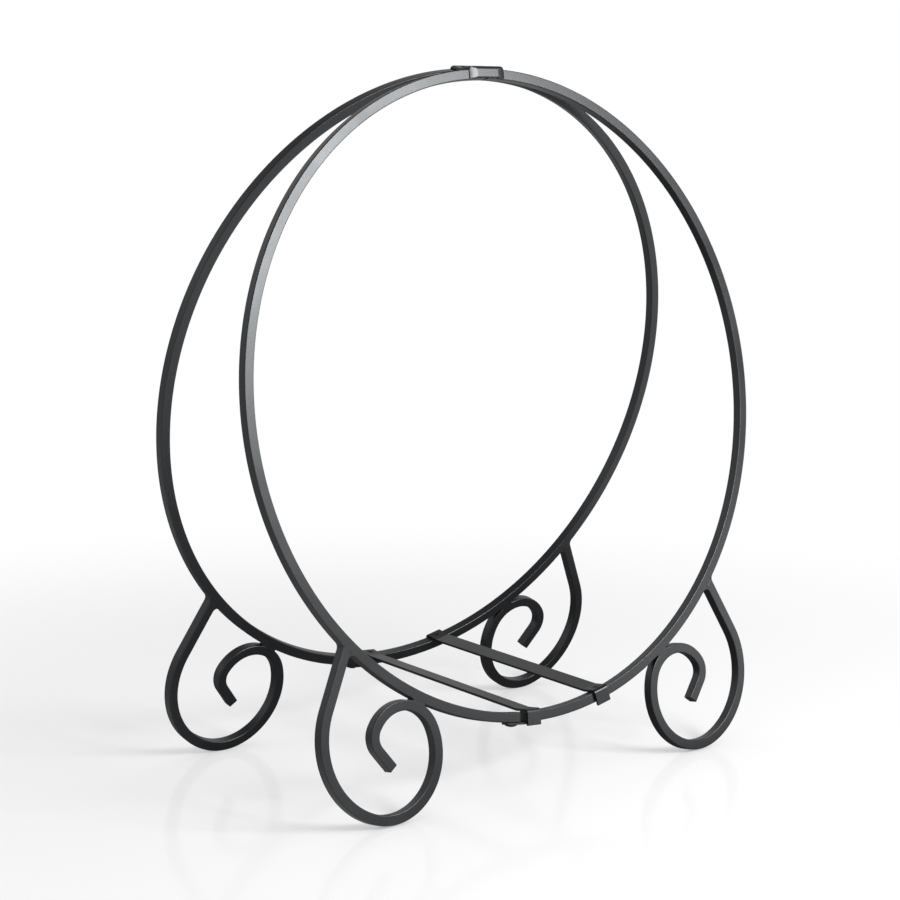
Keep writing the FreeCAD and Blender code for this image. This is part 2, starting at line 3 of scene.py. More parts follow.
import bmesh
import bpy
from bpy.props import FloatProperty, FloatVectorProperty, PointerProperty
from mathutils import Matrix, Vector


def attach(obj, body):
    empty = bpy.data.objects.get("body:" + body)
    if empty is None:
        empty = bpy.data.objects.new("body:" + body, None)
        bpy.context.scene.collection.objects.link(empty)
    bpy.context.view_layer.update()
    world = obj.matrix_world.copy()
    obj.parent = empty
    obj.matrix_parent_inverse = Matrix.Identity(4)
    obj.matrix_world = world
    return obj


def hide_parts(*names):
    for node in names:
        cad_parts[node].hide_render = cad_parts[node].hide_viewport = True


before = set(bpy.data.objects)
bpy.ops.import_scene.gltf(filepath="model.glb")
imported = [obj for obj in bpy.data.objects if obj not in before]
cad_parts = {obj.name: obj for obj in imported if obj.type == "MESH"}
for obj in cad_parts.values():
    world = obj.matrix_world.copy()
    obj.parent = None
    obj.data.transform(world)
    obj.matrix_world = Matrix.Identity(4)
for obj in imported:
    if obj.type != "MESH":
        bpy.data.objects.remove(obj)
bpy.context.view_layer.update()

# Log hoop: the finish of two leaning square-bar hoops on scroll feet. Metres, +Z up, -Y to the front.

bl_info = {
    "name": "Log hoop",
    "version": (1, 0, 0),
    "blender": (4, 5, 0),
    "location": "View3D > Sidebar > Log hoop",
    "description": "Bars, scroll feet, welds, pressed plates and fasteners of a log hoop",
    "category": "Object",
}

BODY = "root"
FRONT, REAR = -1, 1
LEFT, RIGHT = -1, 1
HOOPS = {"front": FRONT, "rear": REAR}
SIDES = {"left": LEFT, "right": RIGHT}
CORNERS = [(f"{hoop}_{side}", HOOPS[hoop], SIDES[side]) for hoop in HOOPS for side in SIDES]
MM = 0.001


def length(name, millimetres, description):
    return FloatProperty(name=name, description=description, default=millimetres * MM, min=0.0, precision=5,
                         subtype="DISTANCE", unit="LENGTH")


def angle(name, degrees, description):
    return FloatProperty(name=name, description=description, default=math.radians(degrees), subtype="ANGLE",
                         unit="ROTATION")


def share(name, default, description):
    return FloatProperty(name=name, description=description, default=default, min=0.0, max=1.0,
                         subtype="FACTOR")


def colour(name, default, description):
    return FloatVectorProperty(name=name, description=description, default=default, size=3, min=0.0, max=1.0,
                               subtype="COLOR")


class HoopSizes(bpy.types.PropertyGroup):
    """Sizes of the hoops and of what joins them."""

    hoop_diameter: length("Hoop diameter", 760, "Outside diameter of each hoop")
    bar_side: length("Bar side", 12, "Side of the square bar")
    bar_edge: length("Bar edge", 1.2, "Rounding of the bar's long edges")
    lean: angle("Lean", 11, "Lean of each hoop towards the other")
    top_spacing: length("Top spacing", 21, "Middle to middle of the two hoops, outside at the top")
    top_joint_gap: length("Top joint gap", 2, "Gap between the half hoops under the saddle")
    joint_distance: length("Joint distance", 41.5, "Bottom joint, left of the middle along the bar")
    joint_gap: length("Joint gap", 8, "Gap between the half hoops at the bottom joint")
    joint_bolt_spacing: length("Joint bolt spacing", 27.7, "Splice bolt to strap screw, across the joint")
    seat_gap: length("Seat gap", 0.15, "Bolted pieces to the bars that they lie on")
    saddle_plate: length("Saddle plate", 3, "Plate of the saddle")
    splice_plate: length("Splice plate", 2.5, "Thickness of the splice plates")
    tie_distance: length("Tie distance", 82, "Second tie strap, right of the middle along the bar")
    strap_width: length("Strap width", 20, "Tie straps along the hoops")
    strap_plate: length("Strap plate", 3, "Thickness of the tie straps")
    plate_edge: length("Plate edge", 0.4, "Softened edges of the plates")
    cut_edge: length("Cut edge", 0.7, "Softened edges of the bars' sawn ends")


class ScrollSizes(bpy.types.PropertyGroup):
    """Sizes of a scroll foot and its welds, on the bar's middle line."""

    leg_angle: angle("Leg angle", 47.5, "Where a leg meets its hoop, from the bottom")
    leg_slant: angle("Leg slant", 27, "Slant of a leg, from upright")
    heel_radius: length("Heel radius", 92, "Outer sweep of the scroll")
    heel_turn: angle("Heel turn", 96, "Turn of the outer sweep")
    toe_radius: length("Toe radius", 70, "Inner side of the scroll's loop")
    toe_turn: angle("Toe turn", 131, "Turn of the loop's inner side")
    curl_radius: length("Curl radius", 44, "Top of the curl, which lies against the hoop")
    curl_turn: angle("Curl turn", 127, "Turn of the curl")
    eye_radius: length("Eye radius", 22, "Last bend before the tail")
    eye_turn: angle("Eye turn", 70, "Turn of the last bend")
    tail_length: length("Tail length", 27.5, "Straight tail at the end of the scroll")
    weld_gap: length("Weld gap", 0.6, "Root gap of the welds between foot and hoop")
    weld_radius: length("Weld radius", 6, "Hollow of the fillet welds beside a leg")
    weld_reach: length("Weld reach", 10, "Half length of the weld between curl and hoop")
    weld_inset: length("Weld inset", 0.04, "Weld metal below the bar's flat sides")


class FastenerSizes(bpy.types.PropertyGroup):
    """Sizes of the screws and bolts."""

    screw_diameter: length("Screw diameter", 5, "Countersunk screws, thread")
    screw_head: length("Screw head", 9.6, "Countersunk screws, head")
    screw_pitch: length("Screw pitch", 0.8, "Countersunk screws, thread pitch")
    saddle_screw_spacing: length("Saddle screw spacing", 24.5, "Saddle screws along the hoops")
    saddle_screw_short: length("Saddle screw short", 0.4, "Saddle screws' tips short of the bars' inside")
    strap_screw_short: length("Strap screw short", 0.8, "Strap screws' tips short of the far side")
    bolt_diameter: length("Bolt diameter", 6, "Splice bolts, thread")
    bolt_pitch: length("Bolt pitch", 1.0, "Splice bolts, thread pitch")
    bolt_head: length("Bolt head", 14, "Splice bolts, mushroom head")
    bolt_head_height: length("Bolt head height", 2.4, "Splice bolts, head height")
    bolt_lip: length("Bolt lip", 0.6, "Splice bolts, straight rim of the head")
    bolt_short: length("Bolt short", 1.3, "Splice bolts' tips short of the bar's inside")
    socket: length("Socket", 3, "Hexagon sockets across flats")
    socket_depth: length("Socket depth", 1.8, "Depth of the hexagon sockets")
    hole_gap: length("Hole gap", 0.15, "Fasteners to their holes")


class Finish(bpy.types.PropertyGroup):
    """Colours and surface of the coats."""

    coat: colour("Coat", (0.005, 0.0052, 0.006), "Satin black powder coat")
    # Lighter coat for the clouds and for the thin coat over edges; on the edges it also serves as a painted
    # highlight.
    coat_worn_and_highlight: colour("Coat on edges", (0.014, 0.0144, 0.0155), "Powder coat where it is thin over an edge")
    coat_roughness: share("Coat roughness", 0.33, "Roughness of the powder coat")
    coat_gloss: share("Coat gloss", 0.69, "How much the powder coat mirrors")
    coat_sheen: colour("Coat sheen", (0.94, 0.975, 1.0), "Tint of what the powder coat mirrors")
    fastener: colour("Fastener", (0.012, 0.012, 0.012), "Black oxide on the screws and bolts")
    fastener_bare: colour("Fastener rubbed", (0.05, 0.049, 0.047), "Black oxide where it is rubbed")
    fastener_roughness: share("Fastener roughness", 0.5, "Roughness of the black oxide")
    floor: colour("Floor", (0.92, 0.92, 0.92), "Plain pale floor")


class LogHoopSettings(bpy.types.PropertyGroup):
    """Everything that a user of the log hoop would change."""

    hoop: PointerProperty(type=HoopSizes)
    scroll: PointerProperty(type=ScrollSizes)
    fasteners: PointerProperty(type=FastenerSizes)
    finish: PointerProperty(type=Finish)


def settings():
    return bpy.context.scene.log_hoop


ARC_STEP = math.radians(2)
HOOP_STEP = math.radians(0.75)
STRAIGHT_STEP = 6 * MM


def heading_along(heading):
    """Direction of travel in a hoop's own frame: heading 0 goes down and a quarter turn goes to the right."""
    return Vector((math.sin(heading), 0, -math.cos(heading)))


def heading_inward(heading):
    """Square to the direction of travel, to the side that the scroll curls to."""
    return Vector((math.cos(heading), 0, math.sin(heading)))


def to_circle(point, along, radius):
    """How far from the point, in that direction, to a circle about the hoop's centre."""
    down = point.dot(along)
    return -down + math.sqrt(down ** 2 - point.dot(point) + radius ** 2)


def spread(first, last, steps):
    """Even steps from first to last, with both ends."""
    return [first + (last - first) * step / steps for step in range(steps + 1)]


def straight(start, end):
    """Points from start towards end, without the end itself."""
    steps = max(1, round((end - start).length / STRAIGHT_STEP))
    return [start.lerp(end, step / steps) for step in range(steps)]


class Scroll:
    """The middle line of a left foot in its hoop's own frame, from the hoop's centre."""

    arc_names = ("heel", "toe", "curl", "eye")
    curl = arc_names.index("curl")

    def __init__(self, hoop_radius, bar_half):
        sizes = settings().scroll
        self.sizes = sizes
        self.arcs = [(getattr(sizes, f"{name}_radius"), getattr(sizes, f"{name}_turn"))
                     for name in self.arc_names]
        self.heading = -sizes.leg_slant
        self.along = heading_along(self.heading)
        self.across = heading_inward(self.heading)
        self.weld_point = heading_along(-sizes.leg_angle) * hoop_radius
        centre, radius = self.place_arcs(self.weld_point)[self.curl][:2]
        reach = hoop_radius + sizes.weld_gap + bar_half + radius
        self.leg_length = to_circle(centre, self.along, reach)
        self.bends = self.place_arcs(self.weld_point + self.along * self.leg_length)

    def place_arcs(self, point):
        """Each bend as (centre, radius, first heading, last heading)."""
        heading = self.heading
        bends = []
        for radius, turn in self.arcs:
            centre = point + heading_inward(heading) * radius
            bends.append((centre, radius, heading, heading + turn))
            heading += turn
            point = centre - heading_inward(heading) * radius
        self.tail_start = point
        self.tail_end = point + heading_along(heading) * self.sizes.tail_length
        return bends

    def lowest(self, bar_half):
        """How far the outside of the foot reaches below the hoop's centre, within the hoop's plane."""
        centre, radius = next(bend[:2] for bend in self.bends if bend[2] <= math.pi / 2 <= bend[3])
        return radius + bar_half - centre.z

    def line(self):
        """Points from the weld down the leg, round the bends and along the tail."""
        points = straight(self.weld_point, self.weld_point + self.along * self.leg_length)
        for centre, radius, first, last in self.bends:
            steps = round((last - first) / ARC_STEP)
            points += [centre - heading_inward(heading) * radius
                       for heading in spread(first, last, steps)[:-1]]
        return points + straight(self.tail_start, self.tail_end) + [self.tail_end]


class Rack:
    """Where the pieces of the rack are, worked out from its sizes."""

    def __init__(self):
        self.sizes = settings().hoop
        self.fasteners = settings().fasteners
        self.radius = self.sizes.hoop_diameter / 2
        self.half = self.sizes.bar_side / 2
        self.middle = self.radius - self.half
        self.inside = self.radius - self.sizes.bar_side
        lean = self.sizes.lean
        self.offset = self.sizes.top_spacing / 2 + self.radius * math.sin(lean)
        self.scroll = Scroll(self.radius, self.half)
        edge = self.sizes.bar_edge
        self.height = ((self.scroll.lowest(self.half) - edge) * math.cos(lean)
                       + (self.half - edge) * math.sin(lean) + edge)
        self.place_fasteners()

    def place_fasteners(self):
        sizes, fasteners = self.sizes, self.fasteners
        self.saddle_top = self.radius + sizes.seat_gap + sizes.saddle_plate
        self.saddle_screw = self.saddle_top - self.inside - fasteners.saddle_screw_short
        splice_back = self.radius + sizes.seat_gap + sizes.splice_plate
        self.bolt_seat = splice_back + sizes.seat_gap
        self.bolt_length = self.bolt_seat - self.inside - fasteners.bolt_short
        self.bolt_angle = (sizes.joint_distance + sizes.joint_bolt_spacing / 2) / self.middle
        strap_seat = math.sqrt(self.inside ** 2 - (sizes.strap_width / 2) ** 2) - sizes.seat_gap
        self.strap_top = strap_seat - sizes.strap_plate
        # The strap at the joint is screwed through to its splice plate, the other through the bars alone.
        joint_turn = (sizes.joint_distance - sizes.joint_bolt_spacing / 2) / self.middle
        tie_turn = -sizes.tie_distance / self.middle
        self.straps = [(turn, far_side - self.strap_top - fasteners.strap_screw_short)
                       for turn, far_side in ((joint_turn, splice_back), (tie_turn, self.radius))]

    def hoop(self, depth):
        """Frame of a hoop: its own XZ plane is the hoop's plane, with the origin at the hoop's centre."""
        lean = Matrix.Rotation(depth * self.sizes.lean, 4, "X")
        return Matrix.Translation((0, depth * self.offset, self.height)) @ lean

    def foot(self, depth, side):
        """Frame of a foot: a right foot is the left one turned half round."""
        return self.hoop(depth) @ Matrix.Rotation(0 if side == LEFT else math.pi, 4, "Z")

    def radial(self, depth, turn, radius, outward=True):
        """On a hoop, at an angle left of the bottom, with +Z pointing away from the centre."""
        flip = Matrix.Rotation(0 if outward else math.pi, 4, "X")
        spin = Matrix.Rotation(turn + math.pi, 4, "Y")
        return self.hoop(depth) @ spin @ Matrix.Translation((0, 0, radius)) @ flip

    def saddle_screw_place(self, depth, side):
        reach = side * self.fasteners.saddle_screw_spacing / 2
        return self.hoop(depth) @ Matrix.Translation((reach, 0, self.saddle_top))

    def bolt_place(self, depth):
        return self.radial(depth, self.bolt_angle, self.bolt_seat)

    def strap_screw_place(self, depth, turn):
        return self.radial(depth, turn, self.strap_top, outward=False)

    def half_hoop_line(self, side):
        """Middle line of a half hoop in the hoop's own frame, clockwise."""
        top = self.sizes.top_joint_gap / 2 / self.middle
        left_end = (self.sizes.joint_distance + self.sizes.joint_gap / 2) / self.middle
        right_end = (self.sizes.joint_distance - self.sizes.joint_gap / 2) / self.middle
        first, last = (top, math.pi + right_end) if side == RIGHT else (math.pi + left_end, 2 * math.pi - top)
        steps = round((last - first) / HOOP_STEP)
        return [Vector((math.sin(turn), 0, math.cos(turn))) * self.middle
                for turn in spread(first, last, steps)]


def fill(tree, socket, value):
    """Gives a socket its value, or links it to another node's output."""
    if isinstance(value, bpy.types.NodeSocket):
        tree.links.new(value, socket)
    else:
        socket.default_value = value


def put(tree, kind, inputs=None, **options):
    """A node with its options set and its named sockets filled."""
    node = tree.nodes.new(kind)
    for name, value in options.items():
        setattr(node, name, value)
    for name, value in (inputs or {}).items():
        fill(tree, next(socket for socket in node.inputs if socket.name == name and socket.enabled), value)
    return node


def calculate(tree, operation, *values):
    """Result of a Math node."""
    node = put(tree, "ShaderNodeMath", operation=operation)
    for socket, value in zip(node.inputs, values):
        fill(tree, socket, value)
    return node.outputs[0]


def remap(tree, value, of, to=(0.0, 1.0), kind="LINEAR"):
    """Result of a Map Range node that carries one range over to another and stops at its ends."""
    return put(tree, "ShaderNodeMapRange", {
        "Value": value, "From Min": of[0], "From Max": of[1], "To Min": to[0], "To Max": to[1]},
        interpolation_type=kind).outputs[0]


def new_geometry_tree(name, sockets):
    """An empty tree with a Geometry input, the named inputs and a Geometry output."""
    tree = bpy.data.node_groups.new(name, "GeometryNodeTree")
    tree.interface.new_socket("Geometry", in_out="INPUT", socket_type="NodeSocketGeometry")
    for label, kind in sockets.items():
        tree.interface.new_socket(label, in_out="INPUT", socket_type=f"NodeSocket{kind}")
    tree.interface.new_socket("Geometry", in_out="OUTPUT", socket_type="NodeSocketGeometry")
    return tree, put(tree, "NodeGroupInput").outputs


def close_geometry_tree(tree, geometry, material):
    """Ends the tree with whole, coated geometry."""
    whole = put(tree, "GeometryNodeRealizeInstances", {"Geometry": geometry})
    coated = put(tree, "GeometryNodeSetMaterial", {
        "Geometry": whole.outputs["Geometry"], "Material": material})
    put(tree, "NodeGroupOutput", {"Geometry": coated.outputs["Geometry"]})


def bar_along_path_tree():
    """Square bar with rounded edges, swept along the input's edges and flat to one plane."""
    found = bpy.data.node_groups.get("bar_along_path")
    if found:
        return found
    tree, given = new_geometry_tree("bar_along_path", {
        "Bar Side": "Float", "Edge Radius": "Float", "Edge Steps": "Int", "Plane Normal": "Vector",
        "Material": "Material"})
    line = put(tree, "GeometryNodeMeshToCurve", {"Mesh": given["Geometry"]})
    upright = put(tree, "GeometryNodeSetCurveNormal", {"Curve": line.outputs["Curve"]}, mode="FREE")
    normal = next(socket for socket in upright.inputs if socket.name == "Normal")
    tree.links.new(given["Plane Normal"], normal)
    square = put(tree, "GeometryNodeCurvePrimitiveQuadrilateral", {
        "Width": given["Bar Side"], "Height": given["Bar Side"]})
    rounded = put(tree, "GeometryNodeFilletCurve", {
        "Curve": square.outputs["Curve"], "Radius": given["Edge Radius"]}, mode="POLY")
    tree.links.new(given["Edge Steps"], rounded.inputs["Count"])
    # Across the section |x| + |y| grows from a flat side's end to the middle of the rounded edge.
    apart = put(tree, "ShaderNodeSeparateXYZ", {"Vector": put(tree, "GeometryNodeInputPosition").outputs[0]})
    reach = calculate(tree, "ADD", *(calculate(tree, "ABSOLUTE", apart.outputs[axis]) for axis in "XY"))
    flat_end = calculate(tree, "SUBTRACT", given["Bar Side"], given["Edge Radius"])
    edge_middle = calculate(tree, "MULTIPLY_ADD", given["Edge Radius"], math.sqrt(2) - 1, flat_end)
    section = put(tree, "GeometryNodeStoreNamedAttribute", {
        "Geometry": rounded.outputs["Curve"], "Name": "edge",
        "Value": remap(tree, reach, of=(flat_end, edge_middle))})
    bar = put(tree, "GeometryNodeCurveToMesh", {
        "Curve": upright.outputs["Curve"], "Profile Curve": section.outputs["Geometry"], "Fill Caps": True})
    smooth = put(tree, "GeometryNodeSetShadeSmooth", {"Geometry": bar.outputs["Mesh"]})
    close_geometry_tree(tree, smooth.outputs["Geometry"], given["Material"])
    return tree


def fasteners_on_points_tree():
    """One copy of a fastener on each of the input's points, turned by the points' own rotation."""
    found = bpy.data.node_groups.get("fasteners_on_points")
    if found:
        return found
    tree, given = new_geometry_tree("fasteners_on_points", {"Fastener": "Object", "Material": "Material"})
    fastener = put(tree, "GeometryNodeObjectInfo", {"Object": given["Fastener"]})
    turn = put(tree, "GeometryNodeInputNamedAttribute", {"Name": "turn"}, data_type="QUATERNION")
    rotation = next(socket for socket in turn.outputs if socket.enabled and socket.name == "Attribute")
    copies = put(tree, "GeometryNodeInstanceOnPoints", {
        "Points": given["Geometry"], "Instance": fastener.outputs["Geometry"], "Rotation": rotation})
    close_geometry_tree(tree, copies.outputs["Instances"], given["Material"])
    return tree


def new_object(name, data):
    piece = bpy.data.objects.new(name, data)
    bpy.context.scene.collection.objects.link(piece)
    return piece


def add_tree(piece, tree, values):
    """The tree as a modifier on the piece, with its named inputs set."""
    modifier = piece.modifiers.new(tree.name, "NODES")
    modifier.node_group = tree
    for item in tree.interface.items_tree:
        if item.in_out == "INPUT" and item.name in values:
            modifier[item.identifier] = values[item.name]


def make_plain(piece):
    """Turns what the piece's modifiers give into its own plain mesh."""
    graph = bpy.context.evaluated_depsgraph_get()
    mesh = bpy.data.meshes.new_from_object(piece.evaluated_get(graph), preserve_all_data_layers=True,
                                           depsgraph=graph)
    before = piece.data
    piece.modifiers.clear()
    piece.data = mesh
    mesh.name = piece.name
    bpy.data.meshes.remove(before)


def mesh_of(name, shape, smooth=False):
    """The shape as a new mesh, with its faces smooth in the light if asked for."""
    if smooth:
        for face in shape.faces:
            face.smooth = True
    mesh = bpy.data.meshes.new(name)
    shape.to_mesh(mesh)
    shape.free()
    return mesh


def join(name, meshes, material):
    """One coated mesh from several, which are removed."""
    whole = bmesh.new()
    for mesh in meshes:
        whole.from_mesh(mesh)
        bpy.data.meshes.remove(mesh)
    joined = mesh_of(name, whole)
    joined.materials.append(material)
    return joined


def bridge(shape, outlines):
    """Vertices on outlines of equal count, with a band of faces from each outline to the next."""
    rows = [[shape.verts.new(point) for point in outline] for outline in outlines]
    count = len(rows[0])
    for near, far in zip(rows, rows[1:]):
        for i in range(count):
            j = (i + 1) % count
            shape.faces.new((near[i], near[j], far[j], far[i]))
    return rows


def cut_small(mesh, grain):
    """Cuts the faces along the three axes into small ones, so that every bend has a light of its own."""
    on_plane = 0.01 * MM
    shape = bmesh.new()
    shape.from_mesh(mesh)
    for normal in (Vector((1, 0, 0)), Vector((0, 1, 0)), Vector((0, 0, 1))):
        reach = [vertex.co.dot(normal) for vertex in shape.verts]
        for step in range(1, math.ceil((max(reach) - min(reach)) / grain)):
            bmesh.ops.bisect_plane(shape, geom=[*shape.verts, *shape.edges, *shape.faces], dist=on_plane,
                                   plane_co=normal * (min(reach) + step * grain), plane_no=normal)
    shape.to_mesh(mesh)
    shape.free()


BEVEL_STEPS = 3
EVEN_WEIGHT = 50
FACE_WEIGHT = 100


def soften(piece, width, limit, grain=None):
    """Rounds the edges sharper than the limit, and keeps flat faces flat in the light."""
    bevel = piece.modifiers.new("softened_edges", "BEVEL")
    bevel.width = width
    bevel.segments = BEVEL_STEPS
    bevel.limit_method = "ANGLE"
    bevel.angle_limit = limit
    if grain:
        make_plain(piece)
        cut_small(piece.data, grain)
    flat = piece.modifiers.new("flat_faces", "WEIGHTED_NORMAL")
    flat.weight = EVEN_WEIGHT if grain else FACE_WEIGHT
    flat.keep_sharp = True
    make_plain(piece)


def finish_piece(piece, slot, *nodes):
    """The piece rides on the rack and stands for the CAD nodes."""
    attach(piece, BODY)
    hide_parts(*nodes)


def empty_tree(owner):
    """Node tree of a material or a world, cleared."""
    owner.use_nodes = True
    owner.node_tree.nodes.clear()
    return owner.node_tree


def new_material(name):
    """A material, its empty tree, and the place on the object that its patterns follow."""
    material = bpy.data.materials.new(name)
    tree = empty_tree(material)
    return material, tree, put(tree, "ShaderNodeTexCoord").outputs["Object"]


def noise(tree, place, scale, detail, roughness=0.5):
    return put(tree, "ShaderNodeTexNoise", {
        "Vector": place, "Scale": scale, "Detail": detail, "Roughness": roughness}).outputs[0]


def bump(tree, height, depth, under=None):
    """Relief of that depth, on top of another relief if one is given."""
    inputs = {"Height": height, "Strength": 1.0, "Distance": depth}
    if under is not None:
        inputs["Normal"] = under
    return put(tree, "ShaderNodeBump", inputs).outputs[0]


def blend_tints(tree, amount, *tints):
    """A colour between two tints."""
    blend = put(tree, "ShaderNodeMix", {"Factor": amount}, data_type="RGBA")
    sockets = [socket for socket in blend.inputs if socket.type == "RGBA"]
    for socket, tint in zip(sockets, tints):
        socket.default_value = (*tint, 1.0)
    return next(socket for socket in blend.outputs if socket.type == "RGBA")


# Depth of each coat's orange peel, and of the ripples of the metal under it.
COATS = {"bar": (0.006 * MM, 0.0), "plate": (0.005 * MM, 0.0), "weld": (0.008 * MM, 0.06 * MM)}


def coat_material(kind):
    """Satin powder coat: orange peel, cloudy sheen, and a thinner, lighter skin over the edges, whose lighter
    colour is also a painted highlight.
    """
    name = f"satin_black_{kind}_coat"
    found = bpy.data.materials.get(name)
    if found:
        return found
    finish = settings().finish
    material, tree, place = new_material(name)
    peel, ripple = COATS[kind]
    clouds = noise(tree, place, scale=14.0, detail=4.0, roughness=0.55)
    specks = noise(tree, place, scale=420.0, detail=3.0, roughness=0.6)
    edge = put(tree, "ShaderNodeAttribute", attribute_name="edge").outputs["Fac"]
    # Edges painted lighter: partly the thinner coat, partly a painted highlight along each edge.
    worn_and_highlit_edge = calculate(tree, "MULTIPLY", edge, remap(tree, specks, of=(0.35, 0.75), to=(0.25, 1.0)))
    shade = remap(tree, clouds, of=(0.3, 0.7), to=(0.0, 0.18))
    tint = blend_tints(tree, calculate(tree, "MAXIMUM", worn_and_highlit_edge, shade), finish.coat, finish.coat_worn_and_highlight)
    swing = 0.04
    rough = remap(tree, clouds, of=(0.25, 0.75),
                  to=(finish.coat_roughness - swing, finish.coat_roughness + swing))
    relief = bump(tree, noise(tree, place, scale=650.0, detail=2.0), peel)
    if ripple:
        relief = bump(tree, noise(tree, place, scale=300.0, detail=1.0), ripple, relief)
    shader = put(tree, "ShaderNodeBsdfPrincipled", {
        "Base Color": tint, "Roughness": rough, "Normal": relief,
        "Specular IOR Level": finish.coat_gloss, "Specular Tint": (*finish.coat_sheen, 1.0)})
    put(tree, "ShaderNodeOutputMaterial", {"Surface": shader.outputs[0]})
    return material


def oxide_material():
    """Black oxide on the screws and bolts, rubbed a little where a key and a thumb touch it."""
    name = "black_oxide"
    found = bpy.data.materials.get(name)
    if found:
        return found
    finish = settings().finish
    material, tree, place = new_material(name)
    rub = noise(tree, place, scale=500.0, detail=5.0, roughness=0.65)
    tint = blend_tints(tree, remap(tree, rub, of=(0.5, 0.8)), finish.fastener, finish.fastener_bare)
    duller, shinier = 0.06, 0.08
    rough = remap(tree, rub, of=(0.3, 0.7),
                  to=(finish.fastener_roughness + duller, finish.fastener_roughness - shinier))
    shader = put(tree, "ShaderNodeBsdfPrincipled", {
        "Base Color": tint, "Metallic": 0.35, "Roughness": rough, "Normal": bump(tree, rub, depth=0.02 * MM)})
    put(tree, "ShaderNodeOutputMaterial", {"Surface": shader.outputs[0]})
    return material


EDGE_STEPS = 5
SAWN_ANGLE = math.radians(50)


def make_bar(name, rack, points, place, start_cut=None):
    """A bar along points of a hoop's own frame, put in its place; start_cut shapes its first end."""
    mesh = bpy.data.meshes.new(name)
    mesh.from_pydata([place @ point for point in points], [(i, i + 1) for i in range(len(points) - 1)], [])
    piece = new_object(name, mesh)
    add_tree(piece, bar_along_path_tree(), {
        "Bar Side": rack.sizes.bar_side, "Edge Radius": rack.sizes.bar_edge, "Edge Steps": EDGE_STEPS,
        "Plane Normal": place.to_3x3() @ Vector((0, -1, 0)), "Material": coat_material("bar")})
    make_plain(piece)
    if start_cut:
        start_cut(piece.data)
    soften(piece, rack.sizes.cut_edge, SAWN_ANGLE)
    return piece


def drill(piece, holes):
    """Takes round holes (place, radius, depth down from the place) out of the piece."""
    sides = 32
    above = 10 * MM
    shape = bmesh.new()
    for place, radius, depth in holes:
        middle = place @ Matrix.Translation((0, 0, (above - depth) / 2))
        bmesh.ops.create_cone(shape, cap_ends=True, segments=sides, radius1=radius, radius2=radius,
                              depth=above + depth, matrix=middle)
    mesh = mesh_of("drill", shape)
    cutter = new_object("drill", mesh)
    cut = piece.modifiers.new("holes", "BOOLEAN")
    cut.operation = "DIFFERENCE"
    cut.solver = "EXACT"
    cut.object = cutter
    make_plain(piece)
    bpy.data.objects.remove(cutter)
    bpy.data.meshes.remove(mesh)


class LOGHOOP_OT_half_hoops(bpy.types.Operator):
    """Roll the four half hoops of square bar and drill them for their screws and bolts"""

    bl_idname = "log_hoop.half_hoops"
    bl_label = "Half hoops"

    def execute(self, context):
        rack = Rack()
        for corner, depth, side in CORNERS:
            node = f"{corner}_half_hoop"
            piece = make_bar(f"{node}_bar", rack, rack.half_hoop_line(side), rack.hoop(depth))
            drill(piece, self.holes(rack, depth, side))
            finish_piece(piece, "bar_coat", node)
        return {"FINISHED"}

    @staticmethod
    def holes(rack, depth, side):
        """Holes of a half hoop. The coat closes the saddle screw's hole on the inside of the hoop."""
        screw = rack.fasteners.screw_diameter / 2 + rack.fasteners.hole_gap
        bolt = rack.fasteners.bolt_diameter / 2 + rack.fasteners.hole_gap
        through = rack.sizes.bar_side
        saddle = (rack.saddle_screw_place(depth, side), screw, rack.saddle_screw)
        if side == LEFT:
            return [saddle, (rack.bolt_place(depth), bolt, rack.bolt_length + through)]
        return [saddle, *((rack.strap_screw_place(depth, turn), screw, total + through)
                          for turn, total in rack.straps)]


class LOGHOOP_OT_scroll_feet(bpy.types.Operator):
    """Bend the four scroll feet and cope their legs to the hoops"""

    bl_idname = "log_hoop.scroll_feet"
    bl_label = "Scroll feet"

    def execute(self, context):
        rack = Rack()
        for corner, depth, side in CORNERS:
            node = f"{corner}_scroll_foot"
            place = rack.foot(depth, side)
            piece = make_bar(f"{node}_bar", rack, rack.scroll.line(), place,
                             start_cut=lambda mesh: self.cope(mesh, rack, place))
            finish_piece(piece, "bar_coat", node)
        return {"FINISHED"}

    @staticmethod
    def cope(mesh, rack, place):
        """Slides the leg's first ring along the leg until it lies against the hoop, one weld gap away."""
        back = place.inverted()
        along = rack.scroll.along
        rim = rack.radius + rack.scroll.sizes.weld_gap
        first_ring = STRAIGHT_STEP / 4
        for vertex in mesh.vertices:
            point = back @ vertex.co
            if abs((point - rack.scroll.weld_point).dot(along)) < first_ring:
                flat = Vector((point.x, 0, point.z))
                vertex.co = place @ (point + along * to_circle(flat, along, rim))


def skin(name, outlines):
    """A closed mesh over outlines of equal count, one behind the other, with flat ends."""
    shape = bmesh.new()
    rows = bridge(shape, outlines)
    shape.faces.new(rows[0][::-1])
    shape.faces.new(rows[-1])
    bmesh.ops.recalc_face_normals(shape, faces=shape.faces)
    return mesh_of(name, shape, smooth=True)


